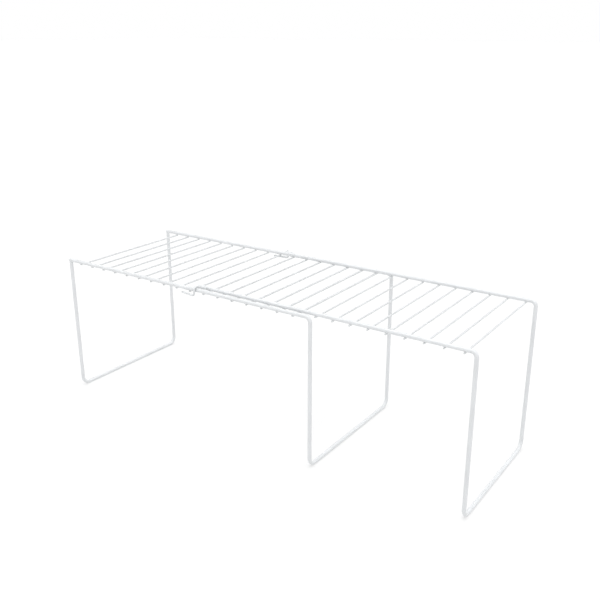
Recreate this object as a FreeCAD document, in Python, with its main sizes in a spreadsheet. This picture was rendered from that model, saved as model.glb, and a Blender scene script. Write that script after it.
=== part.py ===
"""Extending wire shelf riser, as a parametric document, in millimetres.

Two sections of coated steel wire slide along each other:
  base       two rails bent down into a middle leg loop, an end leg loop welded under
             their left ends, and a row of thin cross wires
  extension  narrower and a little higher: two rails with free left ends, bent down into
             a right leg loop, a row of thin cross wires, and two hooks that hold it to
             the base's rails

Frame: +X along the rails towards the extension's legs, +Y to the back, +Z up. The origin
is on the floor, in the middle of the whole length at rest and of the width.
"""
import FreeCAD, Part
import math
import os

import Sketcher
from FreeCAD import Placement, Rotation, Vector

DRIVING_DIMENSIONS = (
    # alias, value, what it is
    ("heavy_wire_dia", 5.5, "rails, legs and floor wires"),
    ("cross_wire_dia", 2.5, "deck cross wires"),
    ("hook_wire_dia", 3.0, "hooks that hold the extension to the base"),
    ("weld_bite", 0.2, "how far two welded wires sink into each other"),
    ("rail_bend_radius", 7.0, "centre line radius where a rail turns down into a leg"),
    ("floor_bend_radius", 12.0, "centre line radius where a leg turns into a floor wire"),
    ("heavy_end_round", 0.9, "rounding of the heavy wire's cut ends"),
    ("cross_end_round", 0.7, "rounding of the cross wires' cut ends"),
    ("rest_length", 668.0, "end legs to right legs at rest, between centre lines"),
    ("base_length", 450.0, "end legs to middle legs, between centre lines"),
    ("base_width", 217.0, "front rail to back rail, between centre lines"),
    ("base_rail_height", 216.5, "floor to the rails' centre lines"),
    ("wire_pitch", 25.0, "spacing of the cross wires"),
    ("base_wire_count", 17, "cross wires of the base"),
    ("base_first_wire", 23.0, "end legs to the first cross wire"),
    ("base_wire_overhang", 1.2, "cross wire past the rail's centre line"),
    ("extension_width", 202.0, "front rail to back rail, between centre lines"),
    ("extension_raise", 3.2, "extension's rails above the base's rails"),
    ("extension_reach", 411.5, "rails' free ends to the right legs' centre line"),
    ("extension_wire_count", 16, "cross wires of the extension"),
    ("extension_last_wire", 14.0, "last cross wire to the right legs' centre line"),
    ("extension_wire_overhang", 3.2, "cross wire past the rail's centre line"),
    ("hook_inset", 4.0, "rails' free ends to the hooks' crossing"),
    ("hook_lap", 15.0, "length of hook welded along the extension's rail"),
    ("hook_tongue", 26.0, "length of hook under the base's rail"),
    ("hook_bend_radius", 4.0, "centre line radius of the hooks' bends"),
    ("hook_end_round", 0.8, "rounding of the hooks' cut ends"),
    ("sliding_gap", 0.5, "clear gap between a hook and the base it passes"),
)
MAX_VOLUME_ERROR = 0.01  # share by which a swept wire may miss section times length

doc = FreeCAD.newDocument("extending_shelf_riser")
sheet = doc.addObject("Spreadsheet::Sheet", "dims")
for row, (alias, value, meaning) in enumerate(DRIVING_DIMENSIONS, start=1):
    sheet.set(f"A{row}", meaning)
    sheet.set(f"B{row}", str(value))
    sheet.setAlias(f"B{row}", alias)
doc.recompute()

# Heights and places that several pieces share, as expressions on the sheet's cells.
HEAVY_RADIUS = "dims.heavy_wire_dia / 2"
CROSS_RADIUS = "dims.cross_wire_dia / 2"
BASE_RAIL_Z = "dims.base_rail_height"
EXTENSION_RAIL_Z = "(dims.base_rail_height + dims.extension_raise)"
CROSS_WIRE_DROP = "((dims.heavy_wire_dia + dims.cross_wire_dia) / 2 - dims.weld_bite)"
END_LEG_X = "(-dims.rest_length / 2)"
MIDDLE_LEG_X = "(dims.base_length - dims.rest_length / 2)"
RIGHT_LEG_X = "(dims.rest_length / 2)"

sub_parts = []


def origin_plane(body, role):
    """The body's own XY_Plane, XZ_Plane or YZ_Plane."""
    return next(f for f in body.Origin.OriginFeatures if f.Role == role)


def new_body(label):
    """An empty body that is one of the riser's sub-parts."""
    body = doc.addObject("PartDesign::Body", label)
    body.Label = label
    sub_parts.append(body)
    return body


def new_sketch(body, name, role, offset=None):
    """A sketch on one of the body's planes, moved along that plane's normal by offset."""
    sketch = body.newObject("Sketcher::SketchObject", name)
    sketch.AttachmentSupport = [(origin_plane(body, role), "")]
    sketch.MapMode = "FlatFace"
    if offset:
        sketch.setExpression("AttachmentOffset.Base.z", offset)
    return sketch


def constrain(sketch, name, expression, *constraint):
    """Adds a dimension to the sketch and binds it to the sheet."""
    sketch.addConstraint(Sketcher.Constraint(*constraint))
    index = sketch.ConstraintCount - 1
    sketch.renameConstraint(index, name)
    sketch.setExpression(f"Constraints.{name}", expression)


def circle_sketch(body, name, role, offset, radius, across, up):
    """A wire's round section: across and up are where its centre lies on the plane."""
    sketch = new_sketch(body, name, role, offset)
    centre = Vector(evaluate(across), evaluate(up), 0)
    sketch.addGeometry(Part.Circle(centre, Vector(0, 0, 1), evaluate(radius)))
    constrain(sketch, "wire_radius", radius, "Radius", 0, evaluate(radius))
    place_point(sketch, "centre", 0, 3, across, up)
    return sketch


def place_point(sketch, name, geometry, point, across, up):
    """Fixes one point of the sketch, measured from the sketch's origin."""
    for axis, direction, expression in (("x", "DistanceX", across), ("y", "DistanceY", up)):
        value = evaluate(expression)
        if expression == "0":
            on_axis = -2 if axis == "x" else -1
            sketch.addConstraint(Sketcher.Constraint("PointOnObject", geometry, point, on_axis))
        else:
            constrain(
                sketch, f"{name}_{axis}", expression,
                direction, -1, 1, geometry, point, value,
            )


def evaluate(expression):
    """The value of an expression on the sheet's cells."""
    value = sheet.evalExpression(expression)
    return float(getattr(value, "Value", value))


def sweep_wire(body, name, profile, path):
    """A round wire that follows a path sketch."""
    pipe = body.newObject("PartDesign::AdditivePipe", name)
    pipe.Profile = profile
    pipe.Spine = (path, [])
    return pipe


def leg_loop_path(body, width, top):
    """Front leg, floor wire and back leg, in the plane across the rails."""
    half = evaluate(f"({width}) / 2")
    floor = evaluate(HEAVY_RADIUS)
    bend = evaluate("dims.floor_bend_radius")
    top_z = evaluate(top)
    sketch = new_sketch(body, "leg_loop_path", "YZ_Plane")
    front_turn = Vector(bend - half, floor + bend, 0)
    back_turn = Vector(half - bend, floor + bend, 0)
    normal = Vector(0, 0, 1)
    sketch.addGeometry([
        Part.LineSegment(Vector(-half, top_z, 0), Vector(-half, floor + bend, 0)),
        Part.ArcOfCircle(Part.Circle(front_turn, normal, bend), math.pi, 1.5 * math.pi),
        Part.LineSegment(Vector(bend - half, floor, 0), Vector(half - bend, floor, 0)),
        Part.ArcOfCircle(Part.Circle(back_turn, normal, bend), 1.5 * math.pi, 2 * math.pi),
        Part.LineSegment(Vector(half, floor + bend, 0), Vector(half, top_z, 0)),
    ])
    start, end = 1, 2
    for first, first_point, second, second_point in (
        (0, end, 1, start),
        (1, end, 2, start),
        (2, end, 3, start),
        (3, end, 4, start),
    ):
        sketch.addConstraint(
            Sketcher.Constraint("Tangent", first, first_point, second, second_point)
        )
    sketch.addConstraint(Sketcher.Constraint("Vertical", 0))
    sketch.addConstraint(Sketcher.Constraint("Equal", 1, 3))
    sketch.addConstraint(Sketcher.Constraint("Symmetric", 0, start, 4, end, -2))
    constrain(sketch, "bend_radius", "dims.floor_bend_radius", "Radius", 1, bend)
    constrain(sketch, "half_width", f"({width}) / 2", "DistanceX", 0, start, -1, 1, half)
    constrain(sketch, "leg_top", top, "DistanceY", -1, 1, 0, start, top_z)
    constrain(sketch, "floor_wire", HEAVY_RADIUS, "DistanceY", -1, 1, 2, start, floor)
    return sketch


def rail_path(body, width, rail_z, run):
    """The front rail and its bend down into the front leg, whose centre line is at x 0."""
    rail_height = evaluate(rail_z)
    length = evaluate(run)
    bend = evaluate("dims.rail_bend_radius")
    sketch = new_sketch(body, "rail_path", "XZ_Plane", f"({width}) / 2")
    turn = Part.Circle(Vector(-bend, rail_height - bend, 0), Vector(0, 0, 1), bend)
    sketch.addGeometry([
        Part.LineSegment(Vector(-length, rail_height, 0), Vector(-bend, rail_height, 0)),
        Part.ArcOfCircle(turn, 0, math.pi / 2),
    ])
    start, end, centre = 1, 2, 3
    sketch.addConstraint(Sketcher.Constraint("Tangent", 0, end, 1, end))
    sketch.addConstraint(Sketcher.Constraint("Horizontal", 0))
    sketch.addConstraint(Sketcher.Constraint("PointOnObject", 1, start, -2))
    sketch.addConstraint(Sketcher.Constraint("Horizontal", 1, start, 1, centre))
    constrain(sketch, "bend_radius", "dims.rail_bend_radius", "Radius", 1, bend)
    constrain(sketch, "rail_height", rail_z, "DistanceY", -1, 1, 0, start, rail_height)
    constrain(sketch, "rail_run", run, "DistanceX", 0, start, -1, 1, length)
    return sketch


def leg_loop(body, width, top):
    """The swept leg loop. Its legs stop at the height top."""
    profile = circle_sketch(
        body, "leg_section", "XY_Plane", top, HEAVY_RADIUS, "0", f"-({width}) / 2"
    )
    return sweep_wire(body, "leg_loop", profile, leg_loop_path(body, width, top))


def add_rails(body, width, rail_z, run):
    """Sweeps the front rail and mirrors it to the back."""
    profile = circle_sketch(
        body, "rail_section", "YZ_Plane", f"-({run})", HEAVY_RADIUS, f"-({width}) / 2", rail_z
    )
    rail = sweep_wire(body, "front_rail", profile, rail_path(body, width, rail_z, run))
    mirrored = body.newObject("PartDesign::Mirrored", "back_rail")
    mirrored.Originals = [rail]
    mirrored.MirrorPlane = (origin_plane(body, "XZ_Plane"), [""])
    body.Tip = mirrored
    doc.recompute()
    return mirrored


def round_ends(body, feature, radius, is_end):
    """Rounds the circular edges of feature whose centre is_end accepts."""
    names = [
        f"Edge{number}"
        for number, edge in enumerate(feature.Shape.Edges, start=1)
        if isinstance(edge.Curve, Part.Circle) and edge.isClosed() and is_end(edge.Curve.Center)
    ]
    fillet = body.newObject("PartDesign::Fillet", "rounded_ends")
    fillet.Base = (feature, names)
    fillet.setExpression("Radius", radius)
    body.Tip = fillet
    return fillet


def frame_wire(label, width, rail_z, run, leg_x):
    """One continuous heavy wire: front rail, leg loop, back rail."""
    body = new_body(label)
    leg_loop(body, width, f"{rail_z} - dims.rail_bend_radius")
    rails = add_rails(body, width, rail_z, run)
    end_x = -evaluate(run)
    round_ends(body, rails, "dims.heavy_end_round", lambda c: abs(c.x - end_x) < 0.01)
    body.setExpression("Placement.Base.x", leg_x)
    return body


def end_leg_wire(label):
    """The base's end leg loop, whose tops are welded into the undersides of the rails."""
    body = new_body(label)
    leg_loop(body, "dims.base_width", f"{BASE_RAIL_Z} - dims.heavy_wire_dia / 4")
    body.setExpression("Placement.Base.x", END_LEG_X)
    return body


def cross_wire(label, rail_width, overhang, x, rail_z):
    """A thin wire across the rails, welded under them."""
    body = new_body(label)
    section = circle_sketch(body, "section", "XZ_Plane", None, CROSS_RADIUS, "0", "0")
    pad = body.newObject("PartDesign::Pad", "wire")
    pad.Profile = section
    pad.SideType = "Symmetric"
    pad.setExpression("Length", f"{rail_width} + 2 * {overhang}")
    doc.recompute()
    round_ends(body, pad, "dims.cross_end_round", lambda centre: True)
    body.setExpression("Placement.Base.x", x)
    body.setExpression("Placement.Base.z", f"{rail_z} - {CROSS_WIRE_DROP}")
    return body


def bent_path(points, radius):
    """A wire path through the points, with an arc of that radius at each turn."""
    edges = []
    start = points[0]
    for corner, following in zip(points[1:-1], points[2:]):
        back = (start - corner).normalize()
        ahead = (following - corner).normalize()
        half_angle = back.getAngle(ahead) / 2
        setback = radius / math.tan(half_angle)
        bisector = (back + ahead).normalize()
        arc_start = corner + back * setback
        arc_end = corner + ahead * setback
        middle = corner + bisector * (radius / math.sin(half_angle) - radius)
        edges.append(Part.LineSegment(start, arc_start).toShape())
        edges.append(Part.Arc(arc_start, middle, arc_end).toShape())
        start = arc_end
    edges.append(Part.LineSegment(start, points[-1]).toShape())
    return Part.Wire(edges)


def front_hook_points():
    """The hook's route, from the end of its weld to the tip of its tongue.

    It lies along the outer side of the extension's front rail, crosses over the base's
    front rail, runs down outside it, and ends in a tongue that passes under the base's
    rail and cross wires, with the sliding gap all the way.
    """
    hook_radius = sheet.hook_wire_dia / 2
    heavy_radius = sheet.heavy_wire_dia / 2
    base_y = -sheet.base_width / 2
    base_z = sheet.base_rail_height
    rail_clear = heavy_radius + sheet.sliding_gap + hook_radius
    cross_wire_foot = heavy_radius + sheet.cross_wire_dia - sheet.weld_bite
    over_z = base_z + rail_clear
    outer_y = base_y - rail_clear
    under_z = base_z - cross_wire_foot - sheet.sliding_gap - hook_radius
    rail_y = -sheet.extension_width / 2
    rail_z = base_z + sheet.extension_raise
    weld_distance = heavy_radius + hook_radius - sheet.weld_bite
    weld_y = rail_y - math.sqrt(weld_distance**2 - (over_z - rail_z) ** 2)
    hook_x = sheet.rest_length / 2 - sheet.extension_reach + sheet.hook_inset
    tip_y = base_y - hook_radius
    return [
        Vector(hook_x + sheet.hook_lap, weld_y, over_z),
        Vector(hook_x, weld_y, over_z),
        Vector(hook_x, outer_y, over_z),
        Vector(hook_x, outer_y, under_z),
        Vector(hook_x - sheet.hook_tongue, tip_y, under_z),
    ]


def front_hook(label):
    """A thin wire swept along the hook's route, with rounded ends."""
    points = front_hook_points()
    path = doc.addObject("Part::Feature", "hook_path")
    path.Shape = bent_path(points, sheet.hook_bend_radius)
    section = doc.addObject("Part::Circle", "hook_section")
    section.setExpression("Radius", "dims.hook_wire_dia / 2")
    section.Placement = Placement(points[0], Rotation(Vector(0, 0, 1), points[1] - points[0]))
    sweep = doc.addObject("Part::Sweep", "hook_sweep")
    sweep.Sections = [section]
    sweep.Spine = (path, [f"Edge{n}" for n in range(1, len(path.Shape.Edges) + 1)])
    sweep.Solid = True
    doc.recompute()
    ends = (points[0], points[-1])
    rounding = sheet.hook_end_round
    hook = doc.addObject("Part::Fillet", label)
    hook.Label = label
    hook.Base = sweep
    hook.Edges = [
        (number, rounding, rounding)
        for number, edge in enumerate(sweep.Shape.Edges, start=1)
        if isinstance(edge.Curve, Part.Circle)
        and any(edge.Curve.Center.distanceToPoint(end) < 0.01 for end in ends)
    ]
    sub_parts.append(hook)
    return hook


def mirrored_hook(label, source):
    """The back hook: the front one mirrored in the middle plane."""
    hook = doc.addObject("Part::Mirroring", label)
    hook.Label = label
    hook.Source = source
    hook.Base = Vector(0, 0, 0)
    hook.Normal = Vector(0, 1, 0)
    sub_parts.append(hook)
    return hook


def build_base():
    """The wide section, which stands on two leg loops."""
    run = "(dims.base_length + dims.heavy_wire_dia / 2)"
    frame_wire("base_frame_wire", "dims.base_width", BASE_RAIL_Z, run, MIDDLE_LEG_X)
    end_leg_wire("base_end_leg_wire")
    for index in range(int(sheet.base_wire_count)):
        cross_wire(
            f"base_cross_wire_{index + 1:02d}",
            "dims.base_width",
            "dims.base_wire_overhang",
            f"{END_LEG_X} + dims.base_first_wire + {index} * dims.wire_pitch",
            BASE_RAIL_Z,
        )


def build_extension():
    """The narrow section, which stands on one leg loop and hooks round the base's rails."""
    frame_wire(
        "extension_frame_wire",
        "dims.extension_width",
        EXTENSION_RAIL_Z,
        "dims.extension_reach",
        RIGHT_LEG_X,
    )
    last = int(sheet.extension_wire_count) - 1
    for index in range(last + 1):
        cross_wire(
            f"extension_cross_wire_{index + 1:02d}",
            "dims.extension_width",
            "dims.extension_wire_overhang",
            f"{RIGHT_LEG_X} - dims.extension_last_wire - {last - index} * dims.wire_pitch",
            EXTENSION_RAIL_Z,
        )
    mirrored_hook("extension_hook_back", front_hook("extension_hook_front"))


def check_document():
    """Stops before anything is written if a feature failed or a sub-part is unsound."""
    for feature in doc.Objects:
        if "Invalid" in feature.State or "Error" in feature.State:
            raise RuntimeError(f"{feature.Label} failed: {feature.State}")
    for part in sub_parts:
        if part.Shape.isNull() or not part.Shape.isValid() or len(part.Shape.Solids) != 1:
            raise RuntimeError(f"{part.Label} is not one valid solid")
    hook_section = math.pi * (sheet.hook_wire_dia / 2) ** 2
    expected = hook_section * doc.hook_path.Shape.Length
    if abs(doc.hook_sweep.Shape.Volume / expected - 1) > MAX_VOLUME_ERROR:
        raise RuntimeError("the hook's volume is not its section times its length")


build_base()
build_extension()
doc.recompute()
check_document()
for part in sub_parts:
    part.Shape.exportStep(f"parts/{part.Label}.step")
    print(f"{part.Label}: {part.Shape.Volume:.1f} mm3")
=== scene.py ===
import math
import random

import bpy
from mathutils import Matrix, Vector


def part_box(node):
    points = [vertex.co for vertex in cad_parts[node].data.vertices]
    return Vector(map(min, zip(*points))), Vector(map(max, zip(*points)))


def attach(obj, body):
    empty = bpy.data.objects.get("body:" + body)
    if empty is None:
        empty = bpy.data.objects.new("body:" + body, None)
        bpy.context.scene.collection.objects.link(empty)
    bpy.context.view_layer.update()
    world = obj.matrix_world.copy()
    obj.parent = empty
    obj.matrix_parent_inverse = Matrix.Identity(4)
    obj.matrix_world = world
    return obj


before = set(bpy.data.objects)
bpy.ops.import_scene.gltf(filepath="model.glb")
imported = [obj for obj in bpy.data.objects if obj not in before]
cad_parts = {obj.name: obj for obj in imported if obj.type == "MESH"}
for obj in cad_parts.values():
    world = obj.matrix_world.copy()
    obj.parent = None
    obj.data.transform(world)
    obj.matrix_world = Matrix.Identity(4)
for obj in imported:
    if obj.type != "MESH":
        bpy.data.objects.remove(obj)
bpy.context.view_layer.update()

MM = 0.001
WELD_SEED = 11

# Wire sizes and heights, read from the frame.
leg_low, leg_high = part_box("base_end_leg_wire")
_, base_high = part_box("base_frame_wire")
_, extension_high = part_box("extension_frame_wire")
cross_low, cross_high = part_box("base_cross_wire_01")
_, hook_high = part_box("extension_hook_front")

HEAVY_RADIUS = (leg_high.x - leg_low.x) / 2
CROSS_RADIUS = (cross_high.x - cross_low.x) / 2
HOOK_RADIUS = 1.5 * MM
BASE_RAIL_Z = base_high.z - HEAVY_RADIUS
BASE_RAIL_Y = base_high.y - HEAVY_RADIUS
EXTENSION_RAIL_Z = extension_high.z - HEAVY_RADIUS
EXTENSION_RAIL_Y = extension_high.y - HEAVY_RADIUS
END_LEG_X = (leg_low.x + leg_high.x) / 2
END_LEG_TOP = leg_high.z - BASE_RAIL_Z

# Welds. The hook lies along the extension's rail over HOOK_LAP, and its weld is
# HOOK_LAP_MARGIN shorter. A cross wire's weld is given as (least, most that chance adds),
# the gap in millimetres, and stops WIRE_END_MARGIN short of the wire's end.
HOOK_LAP = 15 * MM
HOOK_LAP_MARGIN = 4 * MM
HOOK_WELD_GAP = 0.55 * MM
END_LEG_WELD_SIZE = 1.5 * MM
END_LEG_WELD_RISE = 1.1 * MM
CROSS_WELD_GAP = (0.62, 0.20)
CROSS_WELD_SAG = (0.14, 0.08)
WIRE_END_MARGIN = 0.30 * MM

# Coats: the two whites that each one drifts between. The coat is the same white on every wire,
# so the extension's whites, a little darker than the base's, and the cross wires' whites,
# darker still, are painted shade.
BASE_WHITES = ((0.704, 0.720, 0.732), (0.675, 0.690, 0.702))
# The extension's and hooks' whites: the base's white, darkened a little as painted shade.
EXTENSION_WHITES_PAINTED_SHADE = ((0.694, 0.710, 0.722), (0.665, 0.680, 0.692))
# The cross wires' whites: the same coat, darker than the base's as painted shade.
CROSS_WIRE_WHITES_PAINTED_SHADE = ((0.650, 0.665, 0.676), (0.622, 0.636, 0.647))
SPECK_GREY = (0.56, 0.57, 0.58)
SPECK_STRENGTH = 0.20
ROUGHNESS = (0.27, 0.40)

# Patterns of the coat, in cells per metre, and the noise values between which each fades in.
CLOUD_CELLS, CLOUD_FADE = 28.0, (0.35, 0.65)
SPECK_CELLS, SPECK_FADE = 2600.0, (0.62, 0.90)
GLOSS_CELLS, GLOSS_FADE = 340.0, (0.3, 0.7)
HEAVY_PEEL_CELLS = 620.0
THIN_PEEL_CELLS = 820.0
FINE_PEEL_TIMES = 4.5
FINE_PEEL_SHARE = 0.18
PEEL_STRENGTH = 0.8
PEEL_HEIGHT = 0.06 * MM

# Wear: cells per metre along each axis, and the height over which it fades in, which is
# negative where it fades in downwards.
SCUFF_CELLS, SCUFF_SPREAD = (600.0, 90.0, 600.0), -1.0 * MM
RUB_CELLS, RUB_SPREAD = (45.0, 900.0, 900.0), 0.5 * MM
WEAR_FADE = (0.50, 0.66)
WEAR_GREY = (0.50, 0.50, 0.49)
WEAR_STRENGTH = 0.55
WEAR_ROUGHNESS = 0.16
SCUFF_HEIGHT = 1.2 * MM
RUB_DEPTH = 1.0 * MM

# Camera: where it stands, where it looks, and how wide.
CAMERA_PLACE = (0.6134, -0.8586, 0.5596)
CAMERA_AZIMUTH = math.radians(34.36)
CAMERA_ELEVATION = math.radians(19.56)
CAMERA_LENS = 46.02
SENSOR_WIDTH = 36

# Surround: sine of the elevation and brightness, from the horizon to straight up. It is
# even as high as a level camera sees, and strong overhead, which lights the wires' tops.
SKY = ((0.0, 1.0), (0.37, 1.0), (0.47, 0.49), (0.75, 0.49), (0.85, 2.80), (1.0, 2.80))

# Floor and key light.
FLOOR_HALF = 30.0
FLOOR_GREY = 0.37
FLOOR_GLOW = 0.52
KEY_PLACE = (1.6, -2.4, 2.6)
KEY_TARGET = (0, 0, 0.1)
KEY_SIZE = 1.6
KEY_POWER = 8


# ---------------------------------------------------------------- materials

class Nodes:
    """Short names for building one material's node tree."""

    def __init__(self, name):
        self.material = bpy.data.materials.new(name)
        self.material.use_nodes = True
        self.tree = self.material.node_tree
        self.shader = self.tree.nodes["Principled BSDF"]

    def add(self, kind, **settings):
        node = self.tree.nodes.new(kind)
        for key, value in settings.items():
            setattr(node, key, value)
        return node

    def link(self, source, target):
        self.tree.links.new(source, target)

    def position(self):
        """The point on the surface in the CAD frame, which stays with the piece."""
        return self.add("ShaderNodeTexCoord").outputs["Object"]

    def noise(self, vector, scale, detail=2.0, stretch=None):
        """A noise texture of so many cells per metre, with a scale per axis if asked."""
        if stretch:
            mapping = self.add("ShaderNodeMapping")
            mapping.inputs["Scale"].default_value = stretch
            self.link(vector, mapping.inputs["Vector"])
            vector = mapping.outputs["Vector"]
        texture = self.add("ShaderNodeTexNoise")
        texture.inputs["Scale"].default_value = scale
        texture.inputs["Detail"].default_value = detail
        self.link(vector, texture.inputs["Vector"])
        return texture.outputs["Fac"]

    def remap(self, value, low, high, to_low=0.0, to_high=1.0):
        node = self.add("ShaderNodeMapRange", interpolation_type="SMOOTHSTEP")
        node.inputs["From Min"].default_value = low
        node.inputs["From Max"].default_value = high
        node.inputs["To Min"].default_value = to_low
        node.inputs["To Max"].default_value = to_high
        self.link(value, node.inputs["Value"])
        return node.outputs["Result"]

    def math(self, operation, first, second):
        node = self.add("ShaderNodeMath", operation=operation)
        for socket, value in zip(node.inputs, (first, second)):
            if isinstance(value, (int, float)):
                socket.default_value = value
            else:
                self.link(value, socket)
        return node.outputs["Value"]

    def mix_colour(self, factor, first, second):
        node = self.add("ShaderNodeMix", data_type="RGBA")
        self.link(factor, node.inputs["Factor"])
        colours = [s for s in node.inputs if s.type == "RGBA"]
        for socket, value in zip(colours, (first, second)):
            if isinstance(value, tuple):
                socket.default_value = (*value, 1.0)
            else:
                self.link(value, socket)
        return next(s for s in node.outputs if s.type == "RGBA")


def coated_wire(name, whites, peel_cells, scuff_below=None, rubbed_above=None):
    """White powder coat on wire.

    whites are the coat's tone and shade, peel_cells the orange peel's cells per metre.
    scuff_below is the height under which the coat is scuffed by what it stands on, and
    rubbed_above the height over which it is rubbed by what slides on it.
    """
    tone, shade = whites
    nodes = Nodes(name)
    place = nodes.position()
    cloud = nodes.remap(nodes.noise(place, CLOUD_CELLS, detail=3.0), *CLOUD_FADE)
    colour = nodes.mix_colour(cloud, shade, tone)
    speck = nodes.remap(nodes.noise(place, SPECK_CELLS, detail=1.0), *SPECK_FADE)
    speckled = nodes.math("MULTIPLY", speck, SPECK_STRENGTH)
    colour = nodes.mix_colour(speckled, colour, SPECK_GREY)
    gloss = nodes.noise(place, GLOSS_CELLS, detail=3.0)
    roughness = nodes.remap(gloss, *GLOSS_FADE, *ROUGHNESS)
    height = nodes.add("ShaderNodeSeparateXYZ")
    nodes.link(place, height.inputs["Vector"])
    for limit, spread, cells in (
        (scuff_below, SCUFF_SPREAD, SCUFF_CELLS),
        (rubbed_above, RUB_SPREAD, RUB_CELLS),
    ):
        if limit is None:
            continue
        near = nodes.remap(height.outputs["Z"], limit, limit + spread)
        marks = nodes.remap(nodes.noise(place, 1.0, detail=4.0, stretch=cells), *WEAR_FADE)
        worn = nodes.math("MULTIPLY", near, marks)
        amount = nodes.math("MULTIPLY", worn, WEAR_STRENGTH)
        colour = nodes.mix_colour(amount, colour, WEAR_GREY)
        rougher = nodes.math("MULTIPLY", worn, WEAR_ROUGHNESS)
        roughness = nodes.math("ADD", roughness, rougher)
    nodes.link(colour, nodes.shader.inputs["Base Color"])
    nodes.link(roughness, nodes.shader.inputs["Roughness"])
    peel = nodes.noise(place, peel_cells)
    fine = nodes.noise(place, peel_cells * FINE_PEEL_TIMES)
    relief = nodes.math("ADD", peel, nodes.math("MULTIPLY", fine, FINE_PEEL_SHARE))
    bump = nodes.add("ShaderNodeBump")
    bump.inputs["Strength"].default_value = PEEL_STRENGTH
    bump.inputs["Distance"].default_value = PEEL_HEIGHT
    nodes.link(relief, bump.inputs["Height"])
    nodes.link(bump.outputs["Normal"], nodes.shader.inputs["Normal"])
    nodes.shader.inputs["Coat Weight"].default_value = 0.12
    nodes.shader.inputs["Coat Roughness"].default_value = 0.18
    nodes.shader.inputs["IOR"].default_value = 1.5
    return nodes.material


def dress(piece, material):
    """Puts one material on the whole piece."""
    piece.data.materials.clear()
    piece.data.materials.append(material)


# ---------------------------------------------------------------- coating in the joints

def closed_band(rings, low_tip, high_tip):
    """Vertices and faces of a closed skin: rings of points, capped by a point at each end."""
    count = len(rings[0])
    points = [point for ring in rings for point in ring] + [low_tip, high_tip]
    low, high = len(points) - 2, len(points) - 1
    faces = []
    for level in range(len(rings) - 1):
        for k in range(count):
            after = (k + 1) % count
            a, b = level * count + k, level * count + after
            faces.append((a, b, b + count, a + count))
    top = (len(rings) - 1) * count
    for k in range(count):
        after = (k + 1) % count
        faces.append((after, k, low))
        faces.append((top + k, top + after, high))
    return points, faces


def crossing_fillet(rail_radius, wire_radius, bite, wire_end, gap, sag):
    """The coating between a rail along X and the thin wire along Y welded under it.

    The origin is the lowest point of the rail, at the crossing. The skin starts where the
    crevice between the two wires is gap high, or at y wire_end where the thin wire ends
    before that, and bows inwards by the share sag.
    """
    around, levels, step = 28, 5, 0.02 * MM
    side_limit = 0.995
    tip_depth = 0.7
    lower, upper, reach = [], [], []
    for k in range(around):
        angle = 2 * math.pi * k / around
        along, across = math.cos(angle), math.sin(angle)
        distance = 0.0
        while True:
            distance += step
            beside_wire = min(abs(distance * along), wire_radius * side_limit)
            beside_rail = min(abs(distance * across), rail_radius * side_limit)
            top = rail_radius - math.sqrt(rail_radius**2 - beside_rail**2)
            foot = bite - wire_radius + math.sqrt(wire_radius**2 - beside_wire**2)
            if top - foot >= gap or distance * across >= wire_end:
                break
        lower.append(foot)
        upper.append(top)
        reach.append((distance, along, across))
    rings = []
    for level in range(levels):
        share = level / (levels - 1)
        ring = []
        for foot, top, (distance, along, across) in zip(lower, upper, reach):
            pulled = distance * (1 - sag * 4 * share * (1 - share))
            height = foot + (top - foot) * share
            ring.append(Vector((pulled * along, pulled * across, height)))
        rings.append(ring)
    low_tip = Vector((0, 0, -wire_radius * tip_depth))
    high_tip = Vector((0, 0, rail_radius * tip_depth))
    return closed_band(rings, low_tip, high_tip)


def leg_top_fillet(radius, leg_top, size, end_fill):
    """The weld where a leg meets the underside of a rail of the same thickness.

    The origin is where the two centre lines cross. The leg is cut square at the height
    leg_top, and the skin starts below the cut all round, so it closes the wedges at front
    and back where the rail curves up and away from it. The fillet is largest on the side
    where the rail runs on. On the side where the rail ends, it fills the notch under the
    rail's rounded end up to the height end_fill, flush with the leg.
    """
    around, levels = 48, 6
    overlap = 0.15 * MM
    bulge = 0.06 * MM
    thin_share = 0.10
    swell = 1.4
    rings = [[] for _ in range(levels)]
    for k in range(around):
        angle = 2 * math.pi * k / around
        along, across = math.cos(angle), math.sin(angle)
        meet = Vector((radius * along, radius * across, -radius * abs(along)))
        runs_on = max(along, 0.0)
        runs_off = max(-along, 0.0)
        growth = runs_on**swell
        leg_drop = size * (thin_share + (1 - thin_share) * growth)
        rail_run = size * growth
        foot = Vector((meet.x, meet.y, min(meet.z - leg_drop, leg_top - overlap)))
        top = meet + Vector((rail_run, 0, end_fill * runs_off))
        outward = Vector((0, across, 0)) * bulge
        for level in range(levels):
            t = level / (levels - 1)
            point = foot * (1 - t) ** 2 + meet * 2 * t * (1 - t) + top * t**2
            rings[level].append(point + outward * 4 * t * (1 - t))
    return closed_band(rings, Vector((0, 0, -2 * radius)), Vector((0, 0, 0)))


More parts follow.
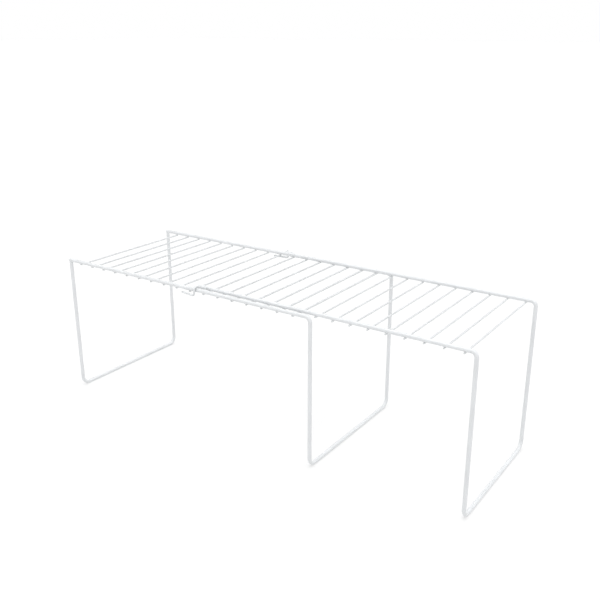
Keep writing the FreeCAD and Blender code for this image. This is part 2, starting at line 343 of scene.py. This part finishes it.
def lap_fillet(first, second, first_radius, second_radius, length, side, gap):
    """The strip of coating between two wires that lie side by side along X.

    first and second are (y, z) of their centres, side is 1 above or -1 below the line
    between them, and the strip runs from x 0 to length, tapering at both ends. gap sets
    how far it rises from that line, and its middle bows inwards. It starts a little off
    the line, so that the strips on the two sides have no edge in common.
    """
    stations = 14
    thinnest = 0.02 * MM
    rise_per_gap = 1.6
    waist_share = 0.72
    side_limit = 0.95
    towards = (second - first).normalized()
    normal = Vector((-towards.y, towards.x))
    turned = normal.y * side < 0
    if turned:
        normal = -normal
    middle = first + towards * first_radius + normal * thinnest
    rings = []
    for k in range(stations):
        share = k / (stations - 1)
        taper = math.sqrt(max(0.0, math.sin(math.pi * share))) * gap + thinnest
        rise = taper * rise_per_gap
        second_rise = min(rise, second_radius * side_limit)
        on_first = first + towards * math.sqrt(first_radius**2 - rise**2) + normal * rise
        on_second = second - towards * math.sqrt(second_radius**2 - second_rise**2)
        on_second = on_second + normal * second_rise
        waist = middle + normal * rise * waist_share
        x = length * share
        ring = [Vector((x, point.x, point.y)) for point in (on_first, waist, on_second, middle)]
        rings.append(ring if turned else ring[::-1])
    low = sum(rings[0], Vector()) / 4
    high = sum(rings[-1], Vector()) / 4
    return closed_band(rings, low, high)


class Skin:
    """Collects closed skins and makes one smooth mesh object of them."""

    def __init__(self, name):
        self.name = name
        self.points = []
        self.faces = []

    def add(self, skin, matrix):
        points, faces = skin
        start = len(self.points)
        self.points += [matrix @ point for point in points]
        flipped = matrix.to_3x3().determinant() < 0
        for face in faces:
            order = tuple(start + k for k in face)
            self.faces.append(order[::-1] if flipped else order)

    def make(self, body, material):
        mesh = bpy.data.meshes.new(self.name)
        mesh.from_pydata([tuple(p) for p in self.points], [], self.faces)
        mesh.validate()
        mesh.shade_smooth()
        piece = bpy.data.objects.new(self.name, mesh)
        bpy.context.scene.collection.objects.link(piece)
        dress(piece, material)
        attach(piece, body)


def cross_wire_welds(name, prefix, rail_y, rail_z, body, material, chance):
    """One fillet at each end of each cross wire of a section, no two quite the same."""
    skin = Skin(name)
    for node in sorted(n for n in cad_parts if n.startswith(prefix)):
        low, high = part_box(node)
        x = (low.x + high.x) / 2
        bite = high.z - (rail_z - HEAVY_RADIUS)
        wire_end = high.y - rail_y - WIRE_END_MARGIN
        for side in (-1, 1):
            gap = (CROSS_WELD_GAP[0] + CROSS_WELD_GAP[1] * chance.random()) * MM
            sag = CROSS_WELD_SAG[0] + CROSS_WELD_SAG[1] * chance.random()
            fillet = crossing_fillet(HEAVY_RADIUS, CROSS_RADIUS, bite, wire_end, gap, sag)
            outwards = Matrix.Diagonal((1, side, 1, 1))
            place = Matrix.Translation((x, side * rail_y, rail_z - HEAVY_RADIUS)) @ outwards
            skin.add(fillet, place)
    skin.make(body, material)


def end_leg_welds(material):
    """The two welds that join the end legs to the base's rails."""
    skin = Skin("end_leg_welds")
    for side in (-1, 1):
        place = Matrix.Translation((END_LEG_X, side * BASE_RAIL_Y, BASE_RAIL_Z))
        fillet = leg_top_fillet(HEAVY_RADIUS, END_LEG_TOP, END_LEG_WELD_SIZE, END_LEG_WELD_RISE)
        skin.add(fillet, place)
    skin.make("base", material)


def hook_welds(material):
    """The strips of coating where each hook lies along the extension's rail."""
    skin = Skin("hook_welds")
    rail = Vector((-EXTENSION_RAIL_Y, EXTENSION_RAIL_Z))
    hook = Vector((hook_high.y - HOOK_RADIUS, hook_high.z - HOOK_RADIUS))
    length = HOOK_LAP - HOOK_LAP_MARGIN
    start = hook_high.x - length
    for mirror in (1, -1):
        place = Matrix.Diagonal((1, mirror, 1, 1)) @ Matrix.Translation((start, 0, 0))
        for side in (-1, 1):
            strip = lap_fillet(
                rail, hook, HEAVY_RADIUS, HOOK_RADIUS, length, side, HOOK_WELD_GAP
            )
            skin.add(strip, place)
    skin.make("extension", material)


# ---------------------------------------------------------------- studio

def floor():
    """A plain pale floor, far larger than the object, lit from below like a light table."""
    half = FLOOR_HALF
    mesh = bpy.data.meshes.new("studio_floor")
    corners = [(-half, -half, 0), (half, -half, 0), (half, half, 0), (-half, half, 0)]
    mesh.from_pydata(corners, [], [(0, 1, 2, 3)])
    plane = bpy.data.objects.new("studio_floor", mesh)
    bpy.context.scene.collection.objects.link(plane)
    material = bpy.data.materials.new("pale_floor")
    material.use_nodes = True
    shader = material.node_tree.nodes["Principled BSDF"]
    shader.inputs["Base Color"].default_value = (FLOOR_GREY, FLOOR_GREY, FLOOR_GREY, 1)
    shader.inputs["Emission Color"].default_value = (1, 1, 1, 1)
    shader.inputs["Emission Strength"].default_value = FLOOR_GLOW
    shader.inputs["Roughness"].default_value = 0.9
    shader.inputs["Specular IOR Level"].default_value = 0.1
    mesh.materials.append(material)


def softbox(name, place, target, size, power):
    """A square area light that points at a target."""
    light = bpy.data.lights.new(name, "AREA")
    light.shape = "SQUARE"
    light.size = size
    light.energy = power
    lamp = bpy.data.objects.new(name, light)
    lamp.location = place
    lamp.rotation_euler = (Vector(target) - Vector(place)).to_track_quat("-Z", "Y").to_euler()
    bpy.context.scene.collection.objects.link(lamp)


def surround(stops):
    """A pale surround, lit differently by height.

    stops are (sine of the elevation, brightness) pairs from the horizon to straight up.
    """
    world = bpy.data.worlds.new("pale_surround")
    world.use_nodes = True
    tree = world.node_tree
    direction = tree.nodes.new("ShaderNodeTexCoord").outputs["Generated"]
    split = tree.nodes.new("ShaderNodeSeparateXYZ")
    tree.links.new(direction, split.inputs["Vector"])
    ramp = tree.nodes.new("ShaderNodeValToRGB")
    tree.links.new(split.outputs["Z"], ramp.inputs["Fac"])
    elements = ramp.color_ramp.elements
    for place, _ in stops[1:-1]:
        elements.new(place)
    brightest = max(value for _, value in stops)
    for element, (_, value) in zip(elements, stops):
        share = value / brightest
        element.color = (share, share, share, 1.0)
    background = tree.nodes["Background"]
    background.inputs["Strength"].default_value = brightest
    tree.links.new(ramp.outputs["Color"], background.inputs["Color"])
    bpy.context.scene.world = world


def camera():
    """The camera at the object's reference view."""
    data = bpy.data.cameras.new("camera")
    data.sensor_width = SENSOR_WIDTH
    data.lens = CAMERA_LENS
    data.clip_end = 100
    looking = Vector((
        -math.sin(CAMERA_AZIMUTH) * math.cos(CAMERA_ELEVATION),
        math.cos(CAMERA_AZIMUTH) * math.cos(CAMERA_ELEVATION),
        -math.sin(CAMERA_ELEVATION),
    ))
    viewer = bpy.data.objects.new("camera", data)
    viewer.location = CAMERA_PLACE
    viewer.rotation_euler = looking.to_track_quat("-Z", "Y").to_euler()
    bpy.context.scene.collection.objects.link(viewer)
    bpy.context.scene.camera = viewer


# ---------------------------------------------------------------- build

base_coat = coated_wire(
    "base_frame_coat", BASE_WHITES, HEAVY_PEEL_CELLS,
    scuff_below=SCUFF_HEIGHT, rubbed_above=BASE_RAIL_Z + HEAVY_RADIUS - RUB_DEPTH,
)
end_leg_coat = coated_wire(
    "end_leg_coat", BASE_WHITES, HEAVY_PEEL_CELLS, scuff_below=SCUFF_HEIGHT
)
# The extension's frame and hooks take the whites darkened as painted shade.
extension_coat_painted_shade = coated_wire(
    "extension_frame_coat_painted_shade", EXTENSION_WHITES_PAINTED_SHADE, HEAVY_PEEL_CELLS, scuff_below=SCUFF_HEIGHT
)
# The cross wires and their welds take whites darkened as painted shade.
cross_coat_painted_shade = coated_wire("cross_wire_coat_painted_shade", CROSS_WIRE_WHITES_PAINTED_SHADE, THIN_PEEL_CELLS)
hook_coat_painted_shade = coated_wire("hook_coat_painted_shade", EXTENSION_WHITES_PAINTED_SHADE, THIN_PEEL_CELLS)

for node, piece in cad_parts.items():
    if "cross_wire" in node:
        dress(piece, cross_coat_painted_shade)
    elif "hook" in node:
        dress(piece, hook_coat_painted_shade)
    elif node == "base_frame_wire":
        dress(piece, base_coat)
    elif node == "base_end_leg_wire":
        dress(piece, end_leg_coat)
    else:
        dress(piece, extension_coat_painted_shade)

chance = random.Random(WELD_SEED)
cross_wire_welds(
    "base_deck_welds", "base_cross_wire_", BASE_RAIL_Y, BASE_RAIL_Z, "base", cross_coat_painted_shade, chance
)
cross_wire_welds(
    "extension_deck_welds", "extension_cross_wire_", EXTENSION_RAIL_Y, EXTENSION_RAIL_Z,
    "extension", cross_coat_painted_shade, chance,
)
end_leg_welds(end_leg_coat)
hook_welds(hook_coat_painted_shade)

floor()
surround(SKY)
softbox("key", KEY_PLACE, KEY_TARGET, KEY_SIZE, KEY_POWER)
bpy.context.scene.view_settings.view_transform = "Standard"
camera()
